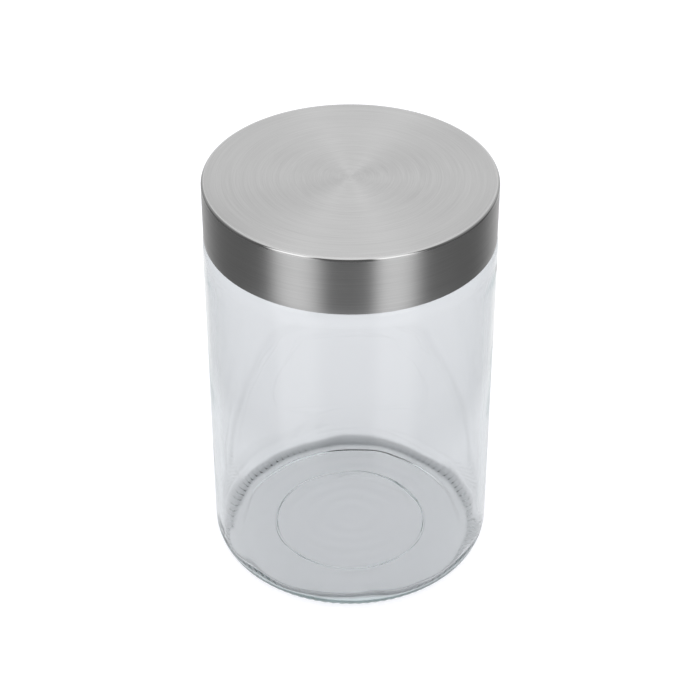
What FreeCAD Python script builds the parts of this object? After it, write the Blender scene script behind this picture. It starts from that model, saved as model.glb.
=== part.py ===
import FreeCAD, Part
import math
import os

import Sketcher
from FreeCAD import Vector

# Lidded glass canister: a moulded glass jar closed by a screw cap.  The cap is
# a drawn steel shell bonded over a threaded plastic insert that holds a seal.
# Millimetres, +Z up, origin on the table at the middle of the jar's foot.

DOC = FreeCAD.newDocument("canister")

# Driving dimensions, one named cell each.
SIZES = {
    # jar body
    "jar_radius": 55.4,
    "wall": 3.2,
    "heel_radius": 11.0,
    "heel_low_radius": 4.8,
    "heel_turn": 40,
    "inner_corner": 5.0,
    "floor_top": 3.6,
    "floor_dish": 0.3,
    # underside of the jar
    "foot_width": 3.0,
    "foot_rise": 0.5,
    "punt_rise": 0.9,
    "mark_radius": 30.7,
    "mark_step": 0.3,
    "knurl_count": 98,
    "knurl_width": 1.3,
    "knurl_depth": 0.45,
    "knurl_length": 3.6,
    "knurl_inset": 1.0,
    # shoulder, neck and rim
    "shoulder_start": 139.5,
    "shoulder_radius": 5.0,
    "root_radius": 0.4,
    "inner_shoulder_low": 8.0,
    "inner_shoulder_turn": 56,
    "neck_wall": 3.0,
    "rim_height": 162.1,
    "rim_radius": 1.4,
    # steel shell
    "lid_radius": 55.0,
    "lid_bottom": 143.0,
    "lid_top": 166.3,
    "shell_sheet": 0.5,
    "shell_bend": 1.0,
    # plastic insert
    "insert_bottom": 145.0,
    "insert_skirt": 143.6,
    "insert_bore": 51.7,
    "insert_ceiling": 164.1,
    "bead_radius": 46.1,
    "bead_width": 0.8,
    "bead_depth": 1.2,
    # seal
    "seal_inner": 46.5,
    "seal_outer": 51.3,
    "seal_gap": 0.2,
    # thread
    "thread_lead": 6.0,
    "thread_rise": 1.3,
    "thread_root": 2.6,
    "thread_crest": 1.2,
    "thread_bite": 0.3,
    "jar_thread_start": 148.0,
    "jar_thread_turns": 1.5,
    "insert_thread_turns": 1.25,
}

# Dimensions that follow from the driving ones.
DERIVED = {
    "inner_radius": "jar_radius - wall",
    "heel_mid_radius": "jar_radius - heel_radius * (1 - cos(heel_turn))",
    "heel_mid_height": "heel_low_radius * (1 - sin(heel_turn))",
    "heel_top": "heel_mid_height + heel_radius * sin(heel_turn)",
    "foot_outer": "heel_mid_radius - heel_low_radius * cos(heel_turn)",
    "foot_inner": "foot_outer - foot_width",
    "neck_radius": "jar_radius - shoulder_radius - root_radius",
    "shoulder_top": "shoulder_start + shoulder_radius",
    "mouth_radius": "neck_radius - neck_wall",
    "inner_shoulder_high":
        "(inner_radius - mouth_radius) / (1 - cos(inner_shoulder_turn)) - inner_shoulder_low",
    "inner_shoulder_start":
        "shoulder_top - (inner_shoulder_low + inner_shoulder_high) * sin(inner_shoulder_turn)",
    "inner_shoulder_mid_radius":
        "inner_radius - inner_shoulder_low * (1 - cos(inner_shoulder_turn))",
    "inner_shoulder_mid_height":
        "inner_shoulder_start + inner_shoulder_low * sin(inner_shoulder_turn)",
    "shell_inner": "lid_radius - shell_sheet",
    "shell_ceiling": "lid_top - shell_sheet",
    "insert_thread_start": "jar_thread_start + thread_lead / 2",
}


def make_sheet():
    """Put every driving and derived dimension in the sheet as an aliased cell."""
    sheet = DOC.addObject("Spreadsheet::Sheet", "dims")
    for row, (name, value) in enumerate(list(SIZES.items()) + list(DERIVED.items()), 1):
        sheet.set(f"A{row}", name)
        sheet.set(f"B{row}", f"={value}" if name in DERIVED else str(value))
        sheet.setAlias(f"B{row}", name)
    DOC.recompute()
    return sheet


SHEET = make_sheet()


def size(expression):
    """Work out an expression of sheet names, such as 'lid_top - wall / 2'."""
    words = expression.replace("-", " - ").replace("+", " + ").replace("/", " / ").split()
    total, sign, index = 0.0, 1.0, 0
    while index < len(words):
        word = words[index]
        if word in "+-":
            sign = -1.0 if word == "-" else 1.0
            index += 1
            continue
        value = float(SHEET.get(word)) if word[0].isalpha() else float(word)
        if index + 2 < len(words) and words[index + 1] == "/":
            value /= float(words[index + 2])
            index += 2
        total += sign * value
        index += 1
    return total


def bound(expression):
    """The same expression written for the expression engine."""
    words = expression.replace("-", " - ").replace("+", " + ").replace("/", " / ").split()
    return " ".join(f"dims.{word}" if word[0].isalpha() else word for word in words)


def origin_item(body, role):
    """An origin plane or axis of a body, found by its role."""
    return next(item for item in body.Origin.OriginFeatures if item.Role == role)


def new_body(label):
    body = DOC.addObject("PartDesign::Body", label)
    body.Label = label
    body.Placement = FreeCAD.Placement()
    return body


def new_sketch(body, name, role):
    sketch = body.newObject("Sketcher::SketchObject", name)
    sketch.AttachmentSupport = [(origin_item(body, role), "")]
    sketch.MapMode = "FlatFace"
    return sketch


def arc_through(start, end, radius, bulge):
    """The short arc between two points; bulge +1 turns left along the way."""
    chord = end - start
    half = chord.Length / 2
    sag = math.sqrt(max(radius * radius - half * half, 0.0))
    side = Vector(-chord.y, chord.x, 0).normalize()
    centre = start + chord / 2 + side * sag * bulge
    first = math.atan2(start.y - centre.y, start.x - centre.x)
    last = math.atan2(end.y - centre.y, end.x - centre.x)
    circle = Part.Circle(centre, Vector(0, 0, 1), radius)
    if bulge > 0:
        return Part.ArcOfCircle(circle, first, last), 1, 2
    return Part.ArcOfCircle(circle, last, first), 2, 1


def bind_point(sketch, geometry, end, name, x_size, y_size):
    """Pin a vertex to the sketch axes, with both distances bound to the sheet."""
    for kind, axis, expression in (("DistanceX", "x", x_size), ("DistanceY", "y", y_size)):
        value = size(expression)
        if expression == "0":
            on_axis = -2 if kind == "DistanceX" else -1
            sketch.addConstraint(Sketcher.Constraint("PointOnObject", geometry, end, on_axis))
            continue
        sketch.addConstraint(Sketcher.Constraint(kind, -1, 1, geometry, end, value))
        label = f"{name}_{axis}"
        sketch.renameConstraint(sketch.ConstraintCount - 1, label)
        sketch.setExpression(f"Constraints.{label}", bound(expression))


def draw_profile(sketch, vertices):
    """Draw a closed outline.

    Each vertex is (x size, y size) or (x size, y size, arc radius, bulge), the
    arc being the edge that leaves that vertex.
    """
    points = [Vector(size(item[0]), size(item[1]), 0) for item in vertices]
    ends = []
    for index, item in enumerate(vertices):
        start, end = points[index], points[(index + 1) % len(points)]
        if len(item) == 4:
            edge, first, last = arc_through(start, end, size(item[2]), item[3])
        else:
            edge, first, last = Part.LineSegment(start, end), 1, 2
        ends.append((sketch.addGeometry(edge, False), first, last))
    for index, (geometry, first, last) in enumerate(ends):
        following = ends[(index + 1) % len(ends)]
        sketch.addConstraint(Sketcher.Constraint(
            "Coincident", geometry, last, following[0], following[1]))
    for index, item in enumerate(vertices):
        geometry, first, last = ends[index]
        bind_point(sketch, geometry, first, f"p{index}", item[0], item[1])
        if len(item) == 4:
            sketch.addConstraint(Sketcher.Constraint("Radius", geometry, size(item[2])))
            sketch.renameConstraint(sketch.ConstraintCount - 1, f"r{index}")
            sketch.setExpression(f"Constraints.r{index}", bound(item[2]))


def lathe(body, name, vertices):
    """Turn an outline of (radius, height) vertices round the vertical axis."""
    sketch = new_sketch(body, f"{name}_outline", "XZ_Plane")
    draw_profile(sketch, vertices)
    turned = body.newObject("PartDesign::Revolution", f"{name}_turned")
    turned.Profile = sketch
    turned.ReferenceAxis = (sketch, ["V_Axis"])
    turned.Angle = 360
    DOC.recompute()
    return turned


def thread(body, name, wall, crest, start, turns):
    """Wind one ridge round the axis, rooted just inside the wall it stands on.

    The bite sinks the root into the wall, so that ridge and wall fuse cleanly.
    """
    sketch = new_sketch(body, f"{name}_section", "XZ_Plane")
    draw_profile(sketch, [
        (wall, f"{start} - thread_root / 2"),
        (crest, f"{start} - thread_crest / 2"),
        (crest, f"{start} + thread_crest / 2"),
        (wall, f"{start} + thread_root / 2"),
    ])
    ridge = body.newObject("PartDesign::AdditiveHelix", f"{name}_ridge")
    ridge.Profile = sketch
    ridge.ReferenceAxis = (sketch, ["V_Axis"])
    ridge.Mode = "pitch-turns-angle"
    ridge.setExpression("Pitch", bound("thread_lead"))
    ridge.setExpression("Turns", bound(turns))
    ridge.LeftHanded = False
    DOC.recompute()
    return ridge


def make_jar():
    """Moulded jar: punted base on a knurled foot, straight wall, threaded neck."""
    jar = new_body("glass_jar")
    lathe(jar, "jar", [
        ("0", "punt_rise"),
        ("mark_radius", "punt_rise"),
        ("mark_radius", "punt_rise - mark_step"),
        ("foot_inner - foot_rise", "foot_rise", "foot_rise", 1),
        ("foot_inner", "0"),
        ("foot_outer", "0", "heel_low_radius", 1),
        ("heel_mid_radius", "heel_mid_height", "heel_radius", 1),
        ("jar_radius", "heel_top"),
        ("jar_radius", "shoulder_start", "shoulder_radius", 1),
        ("jar_radius - shoulder_radius", "shoulder_top", "root_radius", -1),
        ("neck_radius", "shoulder_top + root_radius"),
        ("neck_radius", "rim_height - rim_radius", "rim_radius", 1),
        ("neck_radius - rim_radius", "rim_height"),
        ("mouth_radius + rim_radius", "rim_height", "rim_radius", 1),
        ("mouth_radius", "rim_height - rim_radius"),
        ("mouth_radius", "shoulder_top", "inner_shoulder_high", 1),
        ("inner_shoulder_mid_radius", "inner_shoulder_mid_height", "inner_shoulder_low", -1),
        ("inner_radius", "inner_shoulder_start"),
        ("inner_radius", "floor_top + inner_corner", "inner_corner", -1),
        ("inner_radius - inner_corner", "floor_top"),
        ("0", "floor_top - floor_dish"),
    ])
    thread(jar, "jar_thread", "neck_radius - thread_bite", "neck_radius + thread_rise",
           "jar_thread_start", "jar_thread_turns")
    knurl_foot(jar)
    return jar


def knurl_foot(jar):
    """Cut the ring of short radial grooves round the outer part of the foot."""
    sketch = new_sketch(jar, "knurl_section", "XZ_Plane")
    start = "foot_outer - knurl_inset"
    sketch.AttachmentOffset = FreeCAD.Placement(Vector(0, 0, size(start)), FreeCAD.Rotation())
    sketch.setExpression("AttachmentOffset.Base.z", bound(start))
    half = size("knurl_width / 2")
    depth = size("knurl_depth")
    corners = [Vector(-half, 0, 0), Vector(half, 0, 0), Vector(0, depth, 0)]
    for index in range(3):
        sketch.addGeometry(Part.LineSegment(corners[index], corners[(index + 1) % 3]), False)
    for index in range(3):
        sketch.addConstraint(Sketcher.Constraint("Coincident", index, 2, (index + 1) % 3, 1))
    sketch.addConstraint(Sketcher.Constraint("Symmetric", 0, 1, 0, 2, -1, 1))
    sketch.addConstraint(Sketcher.Constraint("PointOnObject", 1, 2, -2))
    bindings = (
        ("width", Sketcher.Constraint("DistanceX", 0, 1, 0, 2, 2 * half), "knurl_width"),
        ("depth", Sketcher.Constraint("DistanceY", -1, 1, 1, 2, depth), "knurl_depth"),
    )
    for label, constraint, expression in bindings:
        sketch.addConstraint(constraint)
        sketch.renameConstraint(sketch.ConstraintCount - 1, label)
        sketch.setExpression(f"Constraints.{label}", bound(expression))
    groove = jar.newObject("PartDesign::Pocket", "knurl_groove")
    groove.Profile = sketch
    groove.setExpression("Length", bound("knurl_length"))
    groove.Reversed = True
    DOC.recompute()
    ring = jar.newObject("PartDesign::PolarPattern", "knurl_ring")
    ring.Originals = [groove]
    ring.Axis = (origin_item(jar, "Z_Axis"), [""])
    ring.Angle = 360
    jar.Tip = ring
    ring.setExpression("Occurrences", bound("knurl_count"))
    DOC.recompute()


def make_shell():
    """Drawn steel cup: flat brushed top, small bend, straight skirt."""
    shell = new_body("lid_shell")
    lathe(shell, "shell", [
        ("0", "shell_ceiling"),
        ("lid_radius - shell_bend", "shell_ceiling", "shell_bend - shell_sheet", -1),
        ("shell_inner", "lid_top - shell_bend"),
        ("shell_inner", "lid_bottom"),
        ("lid_radius", "lid_bottom"),
        ("lid_radius", "lid_top - shell_bend", "shell_bend", 1),
        ("lid_radius - shell_bend", "lid_top"),
        ("0", "lid_top"),
    ])
    return shell


def make_insert():
    """Threaded plastic cap that fills the shell and holds the seal in its corner."""
    insert = new_body("lid_insert")
    lathe(insert, "insert", [
        ("0", "insert_ceiling"),
        ("bead_radius - bead_width", "insert_ceiling"),
        ("bead_radius - bead_width", "insert_ceiling - bead_depth"),
        ("bead_radius", "insert_ceiling - bead_depth"),
        ("bead_radius", "insert_ceiling"),
        ("insert_bore", "insert_ceiling"),
        ("insert_bore", "insert_bottom"),
        ("shell_inner", "insert_skirt"),
        ("shell_inner", "lid_top - shell_bend", "shell_bend - shell_sheet", 1),
        ("lid_radius - shell_bend", "shell_ceiling"),
        ("0", "shell_ceiling"),
    ])
    thread(insert, "insert_thread", "insert_bore + thread_bite", "insert_bore - thread_rise",
           "insert_thread_start", "insert_thread_turns")
    return insert


def make_seal():
    """Flat silicone ring between the jar's rim and the insert's ceiling."""
    seal = new_body("seal_ring")
    lathe(seal, "seal", [
        ("seal_inner", "rim_height + seal_gap"),
        ("seal_outer", "rim_height + seal_gap"),
        ("seal_outer", "insert_ceiling - seal_gap"),
        ("seal_inner", "insert_ceiling - seal_gap"),
    ])
    return seal


def check_and_export(pieces):
    """Stop on any broken feature, then write one STEP file for each piece."""
    DOC.recompute()
    for item in DOC.Objects:
        broken = {"Invalid", "Error"} & set(item.State)
        if broken:
            raise RuntimeError(f"{item.Label}: {sorted(broken)}")
    os.makedirs("parts", exist_ok=True)
    for piece in pieces:
        if not piece.Shape.isValid() or len(piece.Shape.Solids) != 1:
            raise RuntimeError(f"{piece.Label} isn't one valid solid")
        piece.Shape.exportStep(f"parts/{piece.Label}.step")
        box = piece.Shape.BoundBox
        print(f"{piece.Label}: {piece.Shape.Volume / 1000:.1f} cm3,",
              f"{box.XLength:.2f} x {box.YLength:.2f} x {box.ZLength:.2f} mm,",
              f"z {box.ZMin:.2f} to {box.ZMax:.2f}")


check_and_export([make_jar(), make_shell(), make_insert(), make_seal()])
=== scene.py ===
# %% [markdown]
# # A lidded glass canister
# A moulded glass jar with a knurled foot, closed by a screw lid: a drawn steel cup over a
# threaded plastic insert that holds a seal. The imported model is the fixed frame, and every
# piece made here takes its place from it, in metres, with +Z up and the foot on the table.

# %% Load the frame
import math
import bmesh
import bpy
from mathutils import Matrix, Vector


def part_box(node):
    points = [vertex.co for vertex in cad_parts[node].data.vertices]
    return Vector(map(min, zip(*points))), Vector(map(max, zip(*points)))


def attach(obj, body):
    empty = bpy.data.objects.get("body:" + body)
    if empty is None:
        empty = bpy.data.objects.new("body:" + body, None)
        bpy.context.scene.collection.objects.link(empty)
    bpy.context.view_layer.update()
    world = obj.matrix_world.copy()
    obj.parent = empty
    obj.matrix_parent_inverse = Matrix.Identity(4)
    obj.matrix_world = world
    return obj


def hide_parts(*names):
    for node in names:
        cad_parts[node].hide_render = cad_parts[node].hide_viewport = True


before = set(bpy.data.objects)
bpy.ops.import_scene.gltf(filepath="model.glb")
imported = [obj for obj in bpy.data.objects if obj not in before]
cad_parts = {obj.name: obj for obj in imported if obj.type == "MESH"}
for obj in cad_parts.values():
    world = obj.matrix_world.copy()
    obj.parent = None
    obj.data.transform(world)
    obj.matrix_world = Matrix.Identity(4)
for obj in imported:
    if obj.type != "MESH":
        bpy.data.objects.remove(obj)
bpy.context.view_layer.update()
scene = bpy.context.scene
MM = 0.001

# %% [markdown]
# ## Outer sizes
# Heights come from the boxes of the frame's nodes. A box round a circle of short straight
# sides is a hair small, so the two outer radii are named here instead, in metres.

# %% Outer sizes from the frame
jar_low, jar_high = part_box("glass_jar")
shell_low, shell_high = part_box("lid_shell")
insert_low, insert_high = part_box("lid_insert")
seal_low, seal_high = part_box("seal_ring")
JAR_RADIUS = 55.4 * MM
RIM_HEIGHT = jar_high.z
LID_RADIUS = 55.0 * MM
LID_BOTTOM, LID_TOP = shell_low.z, shell_high.z
INSERT_SKIRT, INSERT_TOP = insert_low.z, insert_high.z
SEAL_BOTTOM, SEAL_TOP = seal_low.z, seal_high.z
print("jar", round(jar_high.x - jar_low.x, 4), "wide; lid", round(LID_TOP - LID_BOTTOM, 4), "deep")

# %% [markdown]
# ## Sizes inside the boxes
# The wall, the inner corner, the shoulder and the threads can't be read from a box, so they
# are named here. Arcs that meet are worked out from each other, so that no kink is left.

# %% Sizes inside the boxes
WALL = 3.2 * MM
HEEL_RADIUS, HEEL_LOW_RADIUS, HEEL_TURN = 11.0 * MM, 4.8 * MM, 40.0
INNER_CORNER = 5.0 * MM
FLOOR_TOP, FLOOR_DISH = 3.6 * MM, 0.3 * MM
HEEL_MID_RADIUS = JAR_RADIUS - HEEL_RADIUS * (1 - math.cos(math.radians(HEEL_TURN)))
HEEL_MID_HEIGHT = HEEL_LOW_RADIUS * (1 - math.sin(math.radians(HEEL_TURN)))
HEEL_TOP = HEEL_MID_HEIGHT + HEEL_RADIUS * math.sin(math.radians(HEEL_TURN))
FOOT_OUTER = HEEL_MID_RADIUS - HEEL_LOW_RADIUS * math.cos(math.radians(HEEL_TURN))
FOOT_INNER = FOOT_OUTER - 3.0 * MM
FOOT_RISE, PUNT_RISE = 0.5 * MM, 0.9 * MM
MARK_RADIUS, MARK_STEP = 30.7 * MM, 0.3 * MM
SHOULDER_START, SHOULDER_RADIUS, ROOT_RADIUS = LID_BOTTOM - 3.5 * MM, 5.0 * MM, 0.4 * MM
NECK_RADIUS = JAR_RADIUS - SHOULDER_RADIUS - ROOT_RADIUS
SHOULDER_TOP = SHOULDER_START + SHOULDER_RADIUS
MOUTH_RADIUS = NECK_RADIUS - 3.0 * MM
RIM_RADIUS = 1.4 * MM
INNER_RADIUS = JAR_RADIUS - WALL
INNER_SHOULDER_LOW, INNER_SHOULDER_TURN = 8.0 * MM, 56.0
inner_turn = math.radians(INNER_SHOULDER_TURN)
INNER_SHOULDER_HIGH = (INNER_RADIUS - MOUTH_RADIUS) / (1 - math.cos(inner_turn)) - INNER_SHOULDER_LOW
INNER_SHOULDER_START = SHOULDER_TOP - (INNER_SHOULDER_LOW + INNER_SHOULDER_HIGH) * math.sin(inner_turn)
SHEET, BEND = 0.5 * MM, 1.0 * MM
SHELL_INNER = LID_RADIUS - SHEET
INSERT_BORE, INSERT_CEILING = 51.7 * MM, SEAL_TOP + 0.2 * MM
INSERT_BOTTOM = INSERT_SKIRT + 1.4 * MM
THREAD_LEAD, THREAD_RISE = 6.0 * MM, 1.3 * MM
THREAD_ROOT, THREAD_CREST = 2.6 * MM, 1.2 * MM
JAR_THREAD_START, JAR_THREAD_TURNS = LID_BOTTOM + 5.0 * MM, 1.5
INSERT_THREAD_START, INSERT_THREAD_TURNS = JAR_THREAD_START + THREAD_LEAD / 2, 1.25
KNURLS, KNURL_DEPTH = 98, 0.35 * MM
print("foot", round(FOOT_OUTER, 4), "neck", round(NECK_RADIUS, 4), "mouth", round(MOUTH_RADIUS, 4))

# %% [markdown]
# ## Turned shapes
# Every piece of the canister is round, so each starts as an outline of (radius, height)
# points turned about the upright axis. Straight stretches are `run`, rounded ones `arc`.
# A `bead` is a soft step, as moulding leaves at the mark and at the foot's inner edge.

# %% Outline helpers
def run(start, end, steps):
    """Points along a straight stretch, without its last point."""
    return [(start[0] + (end[0] - start[0]) * i / steps, start[1] + (end[1] - start[1]) * i / steps)
            for i in range(steps)]


def arc(centre, radius, first, last, steps):
    """Points along an arc, angles in degrees from outwards, without its last point."""
    angles = [math.radians(first + (last - first) * i / steps) for i in range(steps)]
    return [(centre[0] + radius * math.cos(a), centre[1] + radius * math.sin(a)) for a in angles]


def bead(radius, half_width, before, after, height, steps):
    """A soft bead hanging below a step from one height to another, without its last point."""
    points = []
    for i in range(steps):
        share = i / steps
        level = before + (after - before) * (0.5 - 0.5 * math.cos(math.pi * share))
        drop = height * math.sin(math.pi * share) ** 2
        points.append((radius + half_width * (2 * share - 1), level - drop))
    return points


# %% [markdown]
# ## The lathe
# The foot needs many more columns than the wall, to carry the knurls, so a ring may have
# twice the columns of its neighbour, and the strip between them is stitched with triangles.

# %% The lathe
def stitch(bm, lower, upper):
    """Faces between two rings; one may have twice the columns of the other."""
    count = max(len(lower), len(upper))
    if len(lower) == len(upper):
        for i in range(count):
            j = (i + 1) % count
            bm.faces.new((lower[i], lower[j], upper[j], upper[i]))
        return
    coarse, fine, flip = (lower, upper, False) if len(lower) < len(upper) else (upper, lower, True)
    for i in range(len(coarse)):
        j = (i + 1) % len(coarse)
        a, b, c = fine[2 * i], fine[2 * i + 1], fine[(2 * i + 2) % len(fine)]
        for face in ((coarse[i], b, a), (coarse[i], coarse[j], b), (coarse[j], c, b)):
            bm.faces.new(tuple(reversed(face)) if flip else face)


ON_AXIS = 1e-7


def turn(name, rings, closed=False):
    """Turn (radius, height, columns) rings about the axis into one smooth mesh."""
    bm = bmesh.new()
    made = []
    for radius, height, columns in rings:
        if radius < ON_AXIS:
            made.append([bm.verts.new((0, 0, height))])
            continue
        step = 2 * math.pi / columns
        made.append([
            bm.verts.new((radius * math.cos(i * step), radius * math.sin(i * step), height))
            for i in range(columns)])
    pairs = list(zip(made, made[1:])) + ([(made[-1], made[0])] if closed else [])
    for lower, upper in pairs:
        if len(lower) == 1 or len(upper) == 1:
            pole, ring = (lower[0], upper) if len(lower) == 1 else (upper[0], lower)
            for i in range(len(ring)):
                bm.faces.new((pole, ring[i], ring[(i + 1) % len(ring)]))
            continue
        stitch(bm, lower, upper)
    bmesh.ops.recalc_face_normals(bm, faces=bm.faces)
    for face in bm.faces:
        face.smooth = True
    mesh = bpy.data.meshes.new(name)
    bm.to_mesh(mesh)
    bm.free()
    piece = bpy.data.objects.new(name, mesh)
    scene.collection.objects.link(piece)
    print(name, len(mesh.vertices), "points,", len(mesh.polygons), "faces")
    return piece


# %% [markdown]
# ## Wiring
# Relief and materials are both node trees made mostly of maths, so both are wired with the
# same few helpers.

# %% Helpers for wiring nodes
def socket_in(tree, name, kind, default=None):
    """Add a named input to a node tree's interface."""
    item = tree.interface.new_socket(name, in_out="INPUT", socket_type=kind)
    if default is not None:
        item.default_value = default
    return item


class Wires:
    """Short-hand for building maths in a node tree."""

    def __init__(self, tree):
        self.tree = tree

    def node(self, kind, **settings):
        made = self.tree.nodes.new(kind)
        for key, value in settings.items():
            setattr(made, key, value)
        return made

    def feed(self, socket, value):
        if isinstance(value, bpy.types.NodeSocket):
            self.tree.links.new(value, socket)
        else:
            socket.default_value = value

    def maths(self, operation, *values):
        made = self.node("ShaderNodeMath", operation=operation)
        for socket, value in zip(made.inputs, values):
            self.feed(socket, value)
        return made.outputs[0]

    def ramp(self, value, low, high):
        """0 below low, 1 above high, smooth between; low may be above high."""
        made = self.node("ShaderNodeMapRange", interpolation_type="SMOOTHSTEP")
        for key, item in (("Value", value), ("From Min", low), ("From Max", high)):
            self.feed(made.inputs[key], item)
        return made.outputs[0]

    def part(self, vector):
        """The three numbers of a vector."""
        made = self.node("ShaderNodeSeparateXYZ")
        self.feed(made.inputs[0], vector)
        return made.outputs

    def place(self, kind="Object"):
        """The three numbers of the shaded point's place."""
        return self.part(self.node("ShaderNodeTexCoord").outputs[kind])

    def off_axis(self, x, y):
        """Distance from the upright axis."""
        return self.maths("SQRT", self.maths("ADD", self.maths("MULTIPLY", x, x),
                                             self.maths("MULTIPLY", y, y)))


# %% [markdown]
# ## Relief on turned shapes
# Some things on the jar repeat by rule: the short grooves of the knurled foot, the ridge of
# the screw thread, and the slight waviness and rings that moulding leaves inside. They could
# be cut with booleans, but on a dense lathe mesh it is cleaner to move the points. One
# Geometry Nodes tree holds the rules, and the plastic insert uses the same tree for its own
# thread, which grows inwards.

# %% The relief tree
KNURL_FADE_IN, KNURL_FADE_OUT = 0.4 * MM, 0.9 * MM
KNURL_TOP, KNURL_FULL = 3.8 * MM, 2.8 * MM
THREAD_FADE, WALL_REACH = 0.03, 0.02 * MM
CORNER_HEIGHTS, CORNER_RADII = (10.0 * MM, 3.0 * MM), (34.0 * MM, 46.0 * MM)
RIPPLE_HEIGHTS = (1.2 * MM, 0.4 * MM)
RIPPLE_OUTSIDE, RIPPLE_MIDDLE = (45.0 * MM, 36.0 * MM), (1.0 * MM, 6.0 * MM)
RIPPLE_SHIFT, RIPPLE_SWELL = 9.0, 8.0


def build_relief():
    """Knurls, thread ridge, waviness and floor rings as one Geometry Nodes tree."""
    tree = bpy.data.node_groups.new("turned_relief", "GeometryNodeTree")
    socket_in(tree, "Geometry", "NodeSocketGeometry")
    for name, default in (("Knurls", 0.0), ("Knurl depth", 0.0), ("Knurl start", 0.0),
                          ("Knurl end", 0.0), ("Wall radius", 0.0), ("Thread side", 1.0),
                          ("Lead", THREAD_LEAD), ("Rise", THREAD_RISE), ("Root", THREAD_ROOT),
                          ("Crest", THREAD_CREST), ("Thread start", 0.0), ("Turns", 0.0),
                          ("Wave height", 0.0), ("Wave scale", 20.0), ("Corner wave", 0.0),
                          ("Floor height", 0.0), ("Ripple", 0.0), ("Ripple pitch", 7.0 * MM),
                          ("Seed", 7.0)):
        socket_in(tree, name, "NodeSocketFloat", default)
    socket_in(tree, "Material", "NodeSocketMaterial")
    tree.interface.new_socket("Geometry", in_out="OUTPUT", socket_type="NodeSocketGeometry")
    w = Wires(tree)
    given = w.node("NodeGroupInput").outputs
    place = w.node("GeometryNodeInputPosition").outputs[0]
    x, y, z = w.part(place)
    radius = w.off_axis(x, y)
    turn_at = w.maths("FRACT", w.maths("ADD", w.maths("DIVIDE", w.maths("ARCTAN2", y, x),
                                                      2 * math.pi), 1.0))

    # knurls: a cosine round the foot, only on the underside between two radii
    wave = w.maths("COSINE", w.maths("MULTIPLY", turn_at,
                                     w.maths("MULTIPLY", given["Knurls"], 2 * math.pi)))
    groove = w.maths("MULTIPLY_ADD", wave, 0.5, 0.5)
    inner = w.ramp(radius, w.maths("SUBTRACT", given["Knurl start"], KNURL_FADE_IN),
                   given["Knurl start"])
    outer = w.ramp(radius, given["Knurl end"],
                   w.maths("SUBTRACT", given["Knurl end"], KNURL_FADE_OUT))
    under = w.ramp(z, KNURL_TOP, KNURL_FULL)
    band = w.maths("MULTIPLY", w.maths("MULTIPLY", inner, outer), under)
    lift = w.maths("MULTIPLY", w.maths("MULTIPLY", groove, band), given["Knurl depth"])

    # thread: distance along Z to the nearest turn of the helix, then a trapezoid
    climb = w.maths("SUBTRACT", w.maths("DIVIDE", w.maths("SUBTRACT", z, given["Thread start"]),
                                        given["Lead"]), turn_at)
    which = w.maths("ROUND", climb)
    away = w.maths("MULTIPLY", w.maths("ABSOLUTE", w.maths("SUBTRACT", climb, which)),
                   given["Lead"])
    flank = w.node("ShaderNodeMapRange")
    for key, item in (("Value", away), ("From Min", w.maths("DIVIDE", given["Root"], 2.0)),
                      ("From Max", w.maths("DIVIDE", given["Crest"], 2.0))):
        w.feed(flank.inputs[key], item)
    along = w.maths("ADD", turn_at, which)
    started = w.ramp(along, 0.0, THREAD_FADE)
    ending = w.ramp(along, given["Turns"], w.maths("SUBTRACT", given["Turns"], THREAD_FADE))
    off_wall = w.maths("ABSOLUTE", w.maths("SUBTRACT", radius, given["Wall radius"]))
    on_wall = w.maths("LESS_THAN", off_wall, WALL_REACH)
    ridge = w.maths("MULTIPLY", flank.outputs[0], w.maths("MULTIPLY", started, ending))
    out = w.maths("MULTIPLY", w.maths("MULTIPLY", ridge, on_wall),
                  w.maths("MULTIPLY", given["Rise"], given["Thread side"]))

    # waviness: slow seeded noise on the points marked as inside
    noise = w.node("ShaderNodeTexNoise", noise_dimensions="4D")
    w.feed(noise.inputs["Vector"], place)
    w.feed(noise.inputs["W"], given["Seed"])
    w.feed(noise.inputs["Scale"], given["Wave scale"])
    w.feed(noise.inputs["Detail"], 1.0)
    inside = w.node("GeometryNodeInputNamedAttribute", data_type="FLOAT")
    inside.inputs["Name"].default_value = "inside"
    slow = w.maths("MULTIPLY", w.maths("SUBTRACT", noise.outputs[0], 0.5), inside.outputs[0])
    above = w.maths("SUBTRACT", z, given["Floor height"])
    low = w.maths("MULTIPLY", w.ramp(above, *CORNER_HEIGHTS), w.ramp(radius, *CORNER_RADII))
    height = w.maths("MULTIPLY_ADD", low, given["Corner wave"], given["Wave height"])
    out = w.maths("ADD", out, w.maths("MULTIPLY", slow, height))

    # ripples: soft rings on the floor inside the jar
    phase = w.maths("DIVIDE", w.maths("MULTIPLY", radius, 2 * math.pi), given["Ripple pitch"])
    rings = w.maths("SINE", w.maths("ADD", phase, w.maths("MULTIPLY", slow, RIPPLE_SHIFT)))
    flat = w.maths("MULTIPLY", w.ramp(above, *RIPPLE_HEIGHTS), w.ramp(radius, *RIPPLE_OUTSIDE))
    flat = w.maths("MULTIPLY", flat, w.ramp(radius, *RIPPLE_MIDDLE))
    swell = w.maths("ADD", rings, w.maths("MULTIPLY", slow, RIPPLE_SWELL))
    lift = w.maths("ADD", lift, w.maths("MULTIPLY", w.maths("MULTIPLY", swell, inside.outputs[0]),
                                        w.maths("MULTIPLY", flat, given["Ripple"])))

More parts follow.
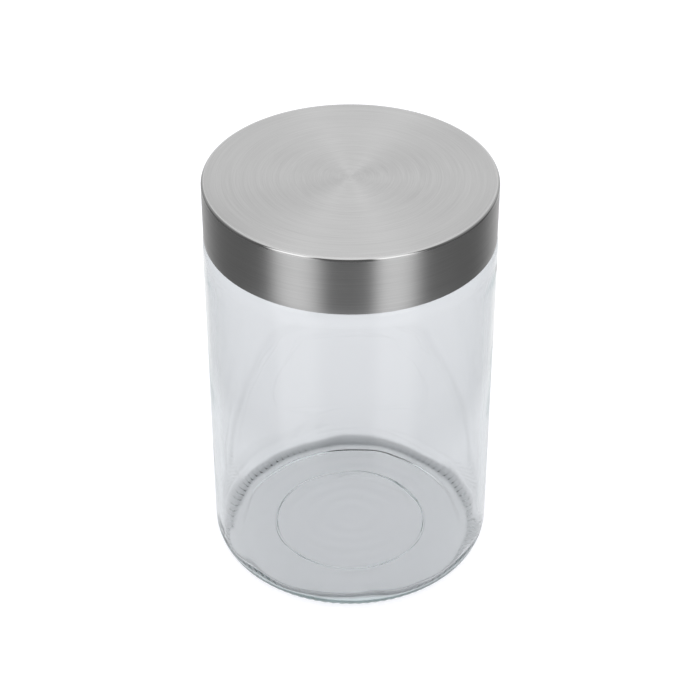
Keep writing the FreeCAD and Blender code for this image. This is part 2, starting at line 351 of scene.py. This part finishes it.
    # move each point: outwards by `out`, up by `lift`
    share = w.maths("DIVIDE", out, w.maths("MAXIMUM", radius, 1e-6))
    offset = w.node("ShaderNodeCombineXYZ")
    w.feed(offset.inputs[0], w.maths("MULTIPLY", x, share))
    w.feed(offset.inputs[1], w.maths("MULTIPLY", y, share))
    w.feed(offset.inputs[2], lift)
    moved = w.node("GeometryNodeSetPosition")
    tree.links.new(given["Geometry"], moved.inputs["Geometry"])
    w.feed(moved.inputs["Offset"], offset.outputs[0])
    real = w.node("GeometryNodeRealizeInstances")
    tree.links.new(moved.outputs[0], real.inputs[0])
    finish = w.node("GeometryNodeSetMaterial")
    tree.links.new(real.outputs[0], finish.inputs["Geometry"])
    tree.links.new(given["Material"], finish.inputs["Material"])
    tree.links.new(finish.outputs[0], w.node("NodeGroupOutput").inputs[0])
    return tree


RELIEF = build_relief()
print("relief tree has", len(RELIEF.nodes), "nodes")


# %% [markdown]
# ## Applying the relief
# The tree is run once and its result kept as a plain mesh, so that the piece exports as it
# looks and no modifier is left on it.

# %% Applying a tree
def apply_tree(piece, tree, values):
    """Run a tree on a piece with named inputs, then keep the result as a plain mesh."""
    modifier = piece.modifiers.new(tree.name, "NODES")
    modifier.node_group = tree
    identifiers = {item.name: item.identifier for item in tree.interface.items_tree
                   if item.in_out == "INPUT"}
    for name, value in values.items():
        modifier[identifiers[name]] = value
    graph = bpy.context.evaluated_depsgraph_get()
    mesh = bpy.data.meshes.new_from_object(piece.evaluated_get(graph), depsgraph=graph,
                                           preserve_all_data_layers=True)
    piece.modifiers.remove(modifier)
    old = piece.data
    piece.data = mesh
    bpy.data.meshes.remove(old)
    mesh.name = piece.name
    return piece


# %% [markdown]
# ## Turned marks
# Steel, plastic and silicone all show fine marks that run round the axis, so the marks are
# one node group that the three materials share, each with its own spacing.

# %% Small material helpers
def new_material(name):
    material = bpy.data.materials.new(name)
    material.use_nodes = True
    tree = material.node_tree
    return material, Wires(tree), tree.nodes["Principled BSDF"], tree.nodes["Material Output"]


FINE_MARKS, BROAD_MARKS = (1.0, 1.0), (0.22, 0.5)


def build_turned_grain():
    """Fine marks that run round the axis: streaks that follow radius and height."""
    tree = bpy.data.node_groups.new("turned_grain", "ShaderNodeTree")
    socket_in(tree, "Lines per metre", "NodeSocketFloat", 1500.0)
    socket_in(tree, "Streak length", "NodeSocketFloat", 2.0)
    tree.interface.new_socket("Fine", in_out="OUTPUT", socket_type="NodeSocketFloat")
    tree.interface.new_socket("Broad", in_out="OUTPUT", socket_type="NodeSocketFloat")
    w = Wires(tree)
    given = w.node("NodeGroupInput").outputs
    x, y, z = w.place()
    radius = w.off_axis(x, y)
    safe = w.maths("MAXIMUM", radius, 1e-5)
    across = w.maths("SUBTRACT", radius, z)
    results = []
    for lines, stretch in (FINE_MARKS, BROAD_MARKS):
        spot = w.node("ShaderNodeCombineXYZ")
        reach = w.maths("MULTIPLY", given["Streak length"], stretch)
        w.feed(spot.inputs[0], w.maths("MULTIPLY", w.maths("DIVIDE", x, safe), reach))
        w.feed(spot.inputs[1], w.maths("MULTIPLY", w.maths("DIVIDE", y, safe), reach))
        w.feed(spot.inputs[2], w.maths("MULTIPLY", w.maths("MULTIPLY", across,
                                                           given["Lines per metre"]), lines))
        noise = w.node("ShaderNodeTexNoise", noise_dimensions="3D")
        tree.links.new(spot.outputs[0], noise.inputs["Vector"])
        noise.inputs["Scale"].default_value = 1.0
        noise.inputs["Detail"].default_value = 3.0
        noise.inputs["Roughness"].default_value = 0.65
        results.append(noise.outputs[0])
    out = w.node("NodeGroupOutput")
    tree.links.new(results[0], out.inputs["Fine"])
    tree.links.new(results[1], out.inputs["Broad"])
    return tree


GRAIN = build_turned_grain()
print("grain group has", len(GRAIN.nodes), "nodes")


def place_grain(wires, lines, length):
    made = wires.node("ShaderNodeGroup", node_tree=GRAIN)
    made.inputs["Lines per metre"].default_value = lines
    made.inputs["Streak length"].default_value = length
    return made.outputs


# %% [markdown]
# ## Glass
# Clear soda-lime glass: the surface is smooth but for the faint unevenness of a moulded
# skin, and the grey-green tint is in the body, so thick places such as the heel are darker.
# Light for shadows passes straight through, which keeps the shadow of the jar pale.

# %% Clear glass
def make_glass():
    """Clear glass that lets light through for shadows, with a faint body tint."""
    material, w, glass, output = new_material("clear_glass")
    glass.inputs["Base Color"].default_value = (1, 1, 1, 1)
    glass.inputs["Roughness"].default_value = 0.0
    glass.inputs["IOR"].default_value = 1.51
    glass.inputs["Transmission Weight"].default_value = 1.0
    uneven = w.node("ShaderNodeTexNoise")
    w.feed(uneven.inputs["Vector"], w.node("ShaderNodeTexCoord").outputs["Object"])
    uneven.inputs["Scale"].default_value = 60.0
    uneven.inputs["Detail"].default_value = 1.0
    skin = w.node("ShaderNodeBump")
    skin.inputs["Strength"].default_value = 0.35
    skin.inputs["Distance"].default_value = 0.0001
    w.feed(skin.inputs["Height"], uneven.outputs[0])
    w.feed(glass.inputs["Normal"], skin.outputs[0])
    clear = w.node("ShaderNodeBsdfTransparent")
    clear.inputs[0].default_value = (0.99, 0.99, 0.99, 1)
    mix = w.node("ShaderNodeMixShader")
    tree = material.node_tree
    tree.links.new(w.node("ShaderNodeLightPath").outputs["Is Shadow Ray"], mix.inputs[0])
    tree.links.new(glass.outputs[0], mix.inputs[1])
    tree.links.new(clear.outputs[0], mix.inputs[2])
    tree.links.new(mix.outputs[0], output.inputs["Surface"])
    body = w.node("ShaderNodeVolumeAbsorption")
    body.inputs["Color"].default_value = (0.62, 0.74, 0.74, 1)
    body.inputs["Density"].default_value = 26.0
    tree.links.new(body.outputs[0], output.inputs["Volume"])
    return material


CLEAR_GLASS = make_glass()
print(CLEAR_GLASS.name, "has", len(CLEAR_GLASS.node_tree.nodes), "nodes")

# %% [markdown]
# ## Steel
# The lid is brushed in circles, so its highlights stretch across the marks: the top shows
# pale wedges and the skirt pale upright bands. The narrow bend between them is smoother.

# %% Brushed steel
POLISH_START = 1.3 * MM


def make_steel():
    """Stainless steel brushed in circles, on the top and round the skirt alike."""
    material, w, steel, _ = new_material("brushed_steel")
    grain = place_grain(w, 2600.0, 1.6)
    tree = material.node_tree
    steel.inputs["Metallic"].default_value = 1.0
    steel.inputs["Anisotropic"].default_value = 0.92
    steel.inputs["Anisotropic Rotation"].default_value = 0.25
    tangent = w.node("ShaderNodeTangent", direction_type="RADIAL", axis="Z")
    tree.links.new(tangent.outputs[0], steel.inputs["Tangent"])
    tint = w.node("ShaderNodeMix", data_type="RGBA")
    tint.inputs[6].default_value = (0.47, 0.47, 0.47, 1)
    tint.inputs[7].default_value = (0.65, 0.65, 0.65, 1)
    tree.links.new(grain["Fine"], tint.inputs[0])
    tree.links.new(tint.outputs[2], steel.inputs["Base Color"])
    rough = w.node("ShaderNodeMapRange")
    w.feed(rough.inputs["Value"], grain["Broad"])
    rough.inputs["To Min"].default_value = 0.30
    rough.inputs["To Max"].default_value = 0.40
    x, y, z = w.place()
    on_bend = w.maths("MULTIPLY", w.ramp(z, LID_TOP - POLISH_START, LID_TOP - BEND),
                      w.ramp(w.off_axis(x, y), LID_RADIUS - POLISH_START, LID_RADIUS - BEND))
    polished = w.node("ShaderNodeMix", data_type="FLOAT")
    w.feed(polished.inputs[0], on_bend)
    w.feed(polished.inputs[2], rough.outputs[0])
    w.feed(polished.inputs[3], 0.1)
    tree.links.new(polished.outputs[0], steel.inputs["Roughness"])
    bump = w.node("ShaderNodeBump")
    bump.inputs["Strength"].default_value = 0.12
    bump.inputs["Distance"].default_value = 0.00002
    tree.links.new(grain["Fine"], bump.inputs["Height"])
    tree.links.new(bump.outputs[0], steel.inputs["Normal"])
    return material


BRUSHED_STEEL = make_steel()
print(BRUSHED_STEEL.name, "has", len(BRUSHED_STEEL.node_tree.nodes), "nodes")

# %% [markdown]
# ## Plastic and silicone
# The hidden pieces are off-white and soft in finish. They differ only in colour, gloss,
# spacing of the marks and the faint sheen of silicone, so one function makes both.

# %% Plastic and silicone
def make_soft_finish(name, colour, roughness, grain_lines, sheen_weight):
    """A moulded finish with faint turned marks and a slight unevenness of tone."""
    material, w, shader, _ = new_material(name)
    grain = place_grain(w, grain_lines, 1.4)
    tree = material.node_tree
    tint = w.node("ShaderNodeMix", data_type="RGBA")
    tint.inputs[6].default_value = (*(c * 0.93 for c in colour), 1)
    tint.inputs[7].default_value = (*colour, 1)
    tree.links.new(grain["Broad"], tint.inputs[0])
    tree.links.new(tint.outputs[2], shader.inputs["Base Color"])
    rough = w.node("ShaderNodeMapRange")
    w.feed(rough.inputs["Value"], grain["Fine"])
    rough.inputs["To Min"].default_value = roughness - 0.06
    rough.inputs["To Max"].default_value = roughness + 0.08
    tree.links.new(rough.outputs[0], shader.inputs["Roughness"])
    shader.inputs["Sheen Weight"].default_value = sheen_weight
    bump = w.node("ShaderNodeBump")
    bump.inputs["Strength"].default_value = 0.15
    bump.inputs["Distance"].default_value = 0.00003
    tree.links.new(grain["Fine"], bump.inputs["Height"])
    tree.links.new(bump.outputs[0], shader.inputs["Normal"])
    return material


INSERT_PLASTIC = make_soft_finish("moulded_plastic", (0.80, 0.80, 0.77), 0.45, 500.0, 0.0)
SEAL_SILICONE = make_soft_finish("white_silicone", (0.78, 0.80, 0.79), 0.5, 900.0, 0.15)
print("soft finishes", INSERT_PLASTIC.name, "and", SEAL_SILICONE.name)

# %% [markdown]
# ## The jar's outline
# The outline goes from the middle of the underside, out over the mould mark and the foot,
# up the wall and the shoulder, over the rim and down inside to the middle of the floor.

# %% Jar outline
COLUMNS = KNURLS * 4
MARK_HALF, MARK_BEAD, FOOT_EDGE = 0.9 * MM, 0.4 * MM, 1.5 * MM
MARK_LEVEL = PUNT_RISE - MARK_STEP
underside = (
    run((0, PUNT_RISE), (MARK_RADIUS - MARK_HALF, PUNT_RISE), 4)
    + bead(MARK_RADIUS, MARK_HALF, PUNT_RISE, MARK_LEVEL, MARK_BEAD, 12)
    + run((MARK_RADIUS + MARK_HALF, MARK_LEVEL), (FOOT_INNER - 2 * FOOT_EDGE, FOOT_RISE), 6)
    + bead(FOOT_INNER - FOOT_EDGE, FOOT_EDGE, FOOT_RISE, 0.0, 0.0, 8)
)
foot = (
    run((FOOT_INNER, 0), (FOOT_OUTER, 0), 9)
    + arc((FOOT_OUTER, HEEL_LOW_RADIUS), HEEL_LOW_RADIUS, -90, -HEEL_TURN, 12)
)
outside = (
    arc((JAR_RADIUS - HEEL_RADIUS, HEEL_TOP), HEEL_RADIUS, -HEEL_TURN, 0, 12)
    + run((JAR_RADIUS, HEEL_TOP), (JAR_RADIUS, SHOULDER_START), 8)
    + arc((JAR_RADIUS - SHOULDER_RADIUS, SHOULDER_START), SHOULDER_RADIUS, 0, 90, 12)
    + arc((NECK_RADIUS + ROOT_RADIUS, SHOULDER_TOP + ROOT_RADIUS), ROOT_RADIUS, -90, -180, 3)
    + run((NECK_RADIUS, SHOULDER_TOP + ROOT_RADIUS), (NECK_RADIUS, RIM_HEIGHT - RIM_RADIUS), 42)
    + arc((NECK_RADIUS - RIM_RADIUS, RIM_HEIGHT - RIM_RADIUS), RIM_RADIUS, 0, 90, 6)
)
corner_centre = (INNER_RADIUS - INNER_CORNER, FLOOR_TOP + INNER_CORNER)
inside = (
    arc((MOUTH_RADIUS + RIM_RADIUS, RIM_HEIGHT - RIM_RADIUS), RIM_RADIUS, 90, 180, 6)
    + run((MOUTH_RADIUS, RIM_HEIGHT - RIM_RADIUS), (MOUTH_RADIUS, SHOULDER_TOP), 6)
    + arc((MOUTH_RADIUS + INNER_SHOULDER_HIGH, SHOULDER_TOP), INNER_SHOULDER_HIGH,
          180, 180 + INNER_SHOULDER_TURN, 6)
    + arc((INNER_RADIUS - INNER_SHOULDER_LOW, INNER_SHOULDER_START), INNER_SHOULDER_LOW,
          INNER_SHOULDER_TURN, 0, 6)
    + run((INNER_RADIUS, INNER_SHOULDER_START), (INNER_RADIUS, corner_centre[1]), 22)
    + arc(corner_centre, INNER_CORNER, 0, -90, 14)
    + run((corner_centre[0], FLOOR_TOP), (0, FLOOR_TOP - FLOOR_DISH), 38)
    + [(0, FLOOR_TOP - FLOOR_DISH)]
)
print("jar outline has", len(underside + foot + outside + inside), "points")

# %% [markdown]
# ## The jar
# A jar is moulded in one piece. It could be an outer and an inner shell joined at the rim,
# but one closed mesh refracts light right, so the outline runs round both sides. The knurls
# and the thread are relief on it. The outside follows the mould, so only the inner surface,
# whose points are marked here, gets the waviness and the rings on the floor.

# %% Turn the jar and add its relief
INSIDE_SLACK, INSIDE_LOWEST, INSIDE_FADE = 0.05 * MM, 2.5 * MM, 12 * MM
jar = turn("jar_glass", [(r, z, COLUMNS) for r, z in underside]
           + [(r, z, COLUMNS * 2) for r, z in foot]
           + [(r, z, COLUMNS) for r, z in outside + inside])


def mark_inside(piece):
    """Give the points of the inner surface a share of 1, fading out at the mouth."""
    values = []
    for point in piece.data.vertices:
        radius = math.hypot(point.co.x, point.co.y)
        within = radius < INNER_RADIUS + INSIDE_SLACK and point.co.z > INSIDE_LOWEST
        fade = min(1.0, max(0.0, (SHOULDER_START - point.co.z) / INSIDE_FADE))
        values.append(fade if within else 0.0)
    layer = piece.data.attributes.new("inside", "FLOAT", "POINT")
    layer.data.foreach_set("value", values)


mark_inside(jar)
apply_tree(jar, RELIEF, {
    "Knurls": float(KNURLS), "Knurl depth": KNURL_DEPTH,
    "Knurl start": FOOT_OUTER - 0.3 * MM, "Knurl end": FOOT_OUTER + 4.9 * MM,
    "Wall radius": NECK_RADIUS, "Thread side": 1.0,
    "Thread start": JAR_THREAD_START, "Turns": JAR_THREAD_TURNS,
    "Wave height": 0.5 * MM, "Wave scale": 34.0, "Corner wave": 8.0 * MM,
    "Floor height": FLOOR_TOP, "Ripple": 0.24 * MM, "Ripple pitch": 6.5 * MM,
    "Material": CLEAR_GLASS,
})
print("jar triangles", sum(len(face.vertices) - 2 for face in jar.data.polygons))

# %% [markdown]
# ## The steel shell
# The shell is one sheet of steel drawn into a cup: flat top, small bend, straight skirt. It
# could be a thickened surface, but an outline that runs inside and out keeps the bend and
# the slightly rounded cut edge at the bottom exact.

# %% Steel shell
edge = 0.12 * MM
shell_outline = (
    run((0, LID_TOP - SHEET), (LID_RADIUS - BEND, LID_TOP - SHEET), 4)
    + arc((LID_RADIUS - BEND, LID_TOP - BEND), BEND - SHEET, 90, 0, 4)
    + run((SHELL_INNER, LID_TOP - BEND), (SHELL_INNER, LID_BOTTOM + edge), 3)
    + arc((SHELL_INNER + edge, LID_BOTTOM + edge), edge, 180, 270, 2)
    + run((SHELL_INNER + edge, LID_BOTTOM), (LID_RADIUS - edge, LID_BOTTOM), 1)
    + arc((LID_RADIUS - edge, LID_BOTTOM + edge), edge, -90, 0, 3)
    + run((LID_RADIUS, LID_BOTTOM + edge), (LID_RADIUS, LID_TOP - BEND), 6)
    + arc((LID_RADIUS - BEND, LID_TOP - BEND), BEND, 0, 90, 8)
    + run((LID_RADIUS - BEND, LID_TOP), (0, LID_TOP), 8)
    + [(0, LID_TOP)]
)
shell = turn("steel_shell", [(r, z, 384) for r, z in shell_outline])
shell.data.materials.append(BRUSHED_STEEL)

# %% [markdown]
# ## The threaded insert
# A plastic cap fills the shell. It carries the female thread and, under its ceiling, a low
# ring that keeps the seal in place. Its lower face slopes down to the shell. The thread
# could be swept and joined, but the relief tree already makes one that fits the jar's.

# %% Threaded insert
BEAD_OUTER, BEAD_INNER, BEAD_DEPTH = 46.1 * MM, 45.3 * MM, 1.2 * MM
insert_outline = (
    run((0, INSERT_CEILING), (BEAD_INNER, INSERT_CEILING), 4)
    + run((BEAD_INNER, INSERT_CEILING), (BEAD_INNER, INSERT_CEILING - BEAD_DEPTH), 2)
    + run((BEAD_INNER, INSERT_CEILING - BEAD_DEPTH), (BEAD_OUTER, INSERT_CEILING - BEAD_DEPTH), 2)
    + run((BEAD_OUTER, INSERT_CEILING - BEAD_DEPTH), (BEAD_OUTER, INSERT_CEILING), 2)
    + run((BEAD_OUTER, INSERT_CEILING), (INSERT_BORE, INSERT_CEILING), 2)
    + run((INSERT_BORE, INSERT_CEILING), (INSERT_BORE, INSERT_BOTTOM), 54)
    + run((INSERT_BORE, INSERT_BOTTOM), (SHELL_INNER, INSERT_SKIRT), 4)
    + run((SHELL_INNER, INSERT_SKIRT), (SHELL_INNER, LID_TOP - BEND), 3)
    + arc((LID_RADIUS - BEND, LID_TOP - BEND), BEND - SHEET, 0, 90, 4)
    + run((LID_RADIUS - BEND, INSERT_TOP), (0, INSERT_TOP), 3)
    + [(0, INSERT_TOP)]
)
insert = turn("threaded_insert", [(r, z, 288) for r, z in insert_outline])
apply_tree(insert, RELIEF, {
    "Wall radius": INSERT_BORE, "Thread side": -1.0,
    "Thread start": INSERT_THREAD_START, "Turns": INSERT_THREAD_TURNS,
    "Material": INSERT_PLASTIC,
})

# %% [markdown]
# ## The seal
# A flat ring of silicone lies in the corner of the insert, over the rim. It could be a
# stretched torus, but a turned outline gives flat faces with rounded edges.

# %% Seal
SEAL_INNER, SEAL_OUTER, SEAL_ROUND = 46.5 * MM, 51.3 * MM, 0.3 * MM
corners = ((SEAL_OUTER, SEAL_BOTTOM, 1, 1, -90), (SEAL_OUTER, SEAL_TOP, 1, -1, 0),
           (SEAL_INNER, SEAL_TOP, -1, -1, 90), (SEAL_INNER, SEAL_BOTTOM, -1, 1, 180))
seal_outline = []
for radius, height, side, up, first in corners:
    centre = (radius - side * SEAL_ROUND, height + up * SEAL_ROUND)
    seal_outline += arc(centre, SEAL_ROUND, first, first + 90, 4)
    seal_outline.append((centre[0] + SEAL_ROUND * math.cos(math.radians(first + 90)),
                         centre[1] + SEAL_ROUND * math.sin(math.radians(first + 90))))
seal = turn("silicone_seal", [(r, z, 240) for r, z in seal_outline], closed=True)
seal.data.materials.append(SEAL_SILICONE)

# %% [markdown]
# ## Joining the frame
# Each piece stands for one CAD node and rides on its body.

# %% Ride on the bodies
for piece, body, node, slot in ((jar, "jar", "glass_jar", "jar_glass"),
                                (shell, "lid", "lid_shell", "lid_steel"),
                                (insert, "lid", "lid_insert", "insert_plastic"),
                                (seal, "seal", "seal_ring", "seal_silicone")):
    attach(piece, body)
    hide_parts(node)
    print(piece.name, "rides on", body, "and replaces", node)

# %% [markdown]
# ## Light levels
# Glass on a white table is lit by what surrounds it: bright cards give the steel its pale
# bands and dark gaps between them give it shape. The card stops are pairs of degrees from
# the camera's side and brightness, once for the level of the table and once for higher up.
# The floor and the surroundings are brighter to the camera than through the glass.

# %% Light levels
FLOOR_COLOUR = (0.57, 0.573, 0.60, 1)
FLOOR_GLOW, GLOW_SEEN, GLOW_THROUGH_GLASS = (0.98, 0.975, 1.0, 1), 0.66, 0.29
BACKDROP = tuple(FLOOR_COLOUR[i] + GLOW_THROUGH_GLASS * FLOOR_GLOW[i] for i in range(3)) + (1,)
OVERHEAD = 1.15
TABLE_GLOW, TABLE_EDGE = (0.85, 0.86, 0.88, 1), (0.12, 0.16)
CONTACT_INSIDE, CONTACT_OUTSIDE = (47.0 * MM, 49.5 * MM), (58.0 * MM, 54.0 * MM)
FLOOR_DROP, TABLE_DROP = 0.1 * MM, 0.05 * MM
CARDS_LOW = ((-180, 1.0), (-160, 0.95), (-144, 0.5), (-130, 0.3), (-118, 0.15), (-65, 0.14),
             (-53, 0.95), (-33, 0.95), (-15, 0.16), (0, 0.15), (14, 0.16), (26, 0.95), (43, 0.95),
             (60, 0.15), (116, 0.12), (128, 0.3), (140, 0.55), (160, 0.95), (180, 1.0))
CARDS_HIGH = ((-180, 1.05), (-166, 0.95), (-150, 0.5), (-100, 0.25), (-66, 0.15), (-56, 1.8),
              (-36, 1.8), (-24, 0.12), (0, 0.1), (14, 0.12), (24, 1.8), (42, 1.8), (54, 0.15),
              (100, 0.35), (150, 0.65), (166, 1.0), (180, 1.05))
print("backdrop through glass", tuple(round(v, 3) for v in BACKDROP[:3]))

# %% [markdown]
# ## The floor
# A plain pale floor, a hair under the foot so that the two faces don't fight. A darker ring
# where the jar stands is seen only through the glass, for the shade under the heel.

# %% Floor
bpy.ops.mesh.primitive_plane_add(size=30.0, location=(0, 0, -FLOOR_DROP))
floor = bpy.context.object
floor.name = "floor"
floor_paint, w, shader, _ = new_material("floor_paint")
shader.inputs["Base Color"].default_value = FLOOR_COLOUR
shader.inputs["Roughness"].default_value = 0.9
shader.inputs["Specular IOR Level"].default_value = 0.0
shader.inputs["Emission Color"].default_value = FLOOR_GLOW
path = w.node("ShaderNodeLightPath").outputs
x, y, _ = w.place()
spread = w.off_axis(x, y)
contact = w.maths("MULTIPLY", w.ramp(spread, *CONTACT_INSIDE), w.ramp(spread, *CONTACT_OUTSIDE))
through = w.maths("MULTIPLY", w.maths("SUBTRACT", 1.0, contact), GLOW_THROUGH_GLASS)
w.feed(shader.inputs["Emission Strength"],
       w.maths("ADD", w.maths("MULTIPLY", path["Is Camera Ray"], GLOW_SEEN),
               w.maths("MULTIPLY", path["Is Transmission Ray"], through)))
floor.data.materials.append(floor_paint)
floor.visible_glossy = False

# %% [markdown]
# ## The lit table top
# A real white table shows in the steel and the glass as a bright disc that fades at its
# edge. The floor itself is left out of reflections, and this disc shows only in them.

# %% Lit table top
bpy.ops.mesh.primitive_circle_add(vertices=96, radius=TABLE_EDGE[1], fill_type="NGON",
                                  location=(0, 0, -TABLE_DROP))
table = bpy.context.object
table.name = "table_glow"
table_light, w, _, output = new_material("table_light")
glow = w.node("ShaderNodeEmission")
glow.inputs[0].default_value = TABLE_GLOW
nothing = w.node("ShaderNodeBsdfTransparent")
x, y, _ = w.place()
fade = w.node("ShaderNodeMixShader")
w.feed(fade.inputs[0], w.ramp(w.off_axis(x, y), *TABLE_EDGE))
w.feed(fade.inputs[1], glow.outputs[0])
w.feed(fade.inputs[2], nothing.outputs[0])
w.feed(output.inputs["Surface"], fade.outputs[0])
table.data.materials.append(table_light)
table.visible_camera = table.visible_diffuse = False
table.visible_transmission = table.visible_shadow = False
print("floor and table top staged")

# %% [markdown]
# ## The surroundings
# The world is plain white to the camera and an even pale grey through the glass. Only mirror
# rays see the cards: low ones near the horizon, high ones above them, then an even overhead.

# %% Surroundings
HORIZON, HIGH_END = (0.0, 0.25), (0.55, 0.95)
world = bpy.data.worlds.new("studio")
scene.world = world
world.use_nodes = True
w = Wires(world.node_tree)
back = world.node_tree.nodes["Background"]
x, y, z = w.place("Generated")
from_camera = w.maths("ARCTAN2", x, w.maths("MULTIPLY", y, -1.0))
compass = w.maths("FRACT", w.maths("ADD", w.maths("DIVIDE", from_camera, 2 * math.pi), 1.5))


def ring_of_cards(levels):
    """Brightness by compass direction, from (degrees from the camera's side, level) stops."""
    cards = w.node("ShaderNodeValToRGB")
    w.feed(cards.inputs[0], compass)
    cards.color_ramp.interpolation = "EASE"
    while len(cards.color_ramp.elements) > 1:
        cards.color_ramp.elements.remove(cards.color_ramp.elements[0])
    for index, (degrees, level) in enumerate(levels):
        at = (degrees + 180.0) / 360.0
        stop = cards.color_ramp.elements[0] if index == 0 else cards.color_ramp.elements.new(at)
        stop.position = at
        stop.color = (level, level, level, 1)
    return cards.outputs[0]


def blend(share, low, high):
    """One colour fading into another."""
    mixed = w.node("ShaderNodeMix", data_type="RGBA")
    for index, value in ((0, share), (6, low), (7, high)):
        w.feed(mixed.inputs[index], value)
    return mixed.outputs[2]


overhead = (OVERHEAD, OVERHEAD, OVERHEAD, 1)
upper = blend(w.ramp(z, *HIGH_END), ring_of_cards(CARDS_HIGH), overhead)
around = blend(w.ramp(z, *HORIZON), ring_of_cards(CARDS_LOW), upper)
path = w.node("ShaderNodeLightPath").outputs
mirrored = w.maths("MULTIPLY", path["Is Glossy Ray"],
                   w.maths("SUBTRACT", 1.0, path["Is Transmission Ray"]))
plain = blend(path["Is Transmission Ray"], (1, 1, 1, 1), BACKDROP)
w.feed(back.inputs[0], blend(mirrored, plain, around))
print("cards", len(CARDS_LOW), "low and", len(CARDS_HIGH), "high")

# %% [markdown]
# ## Paths through thick glass
# Light in the thick heel bounces many times before it leaves. With the usual limits such
# paths are cut short and the heel turns black, so they are raised.

# %% Bounce limits
scene.cycles.max_bounces = 32
scene.cycles.glossy_bounces = 24
scene.cycles.transmission_bounces = 32
scene.cycles.transparent_max_bounces = 16
print("bounces up to", scene.cycles.max_bounces)

# %% [markdown]
# ## The camera
# It looks down at the canister from the front with a long lens, from well away, so that the
# wall narrows only slightly towards the foot.

# %% Camera
CAMERA_UP, CAMERA_FAR, AIM_HEIGHT = math.radians(36.2), 0.7734, 0.0874
camera_data = bpy.data.cameras.new("camera")
camera_data.lens = 101.8
camera_data.sensor_width = 36.0
camera = bpy.data.objects.new("camera", camera_data)
scene.collection.objects.link(camera)
aim = Vector((-0.00015, 0, AIM_HEIGHT))
camera.location = aim + CAMERA_FAR * Vector((0, -math.cos(CAMERA_UP), math.sin(CAMERA_UP)))
camera.rotation_euler = (aim - camera.location).to_track_quat("-Z", "Y").to_euler()
scene.camera = camera
scene.view_settings.view_transform = "Standard"
print("camera at", tuple(round(v, 3) for v in camera.location))
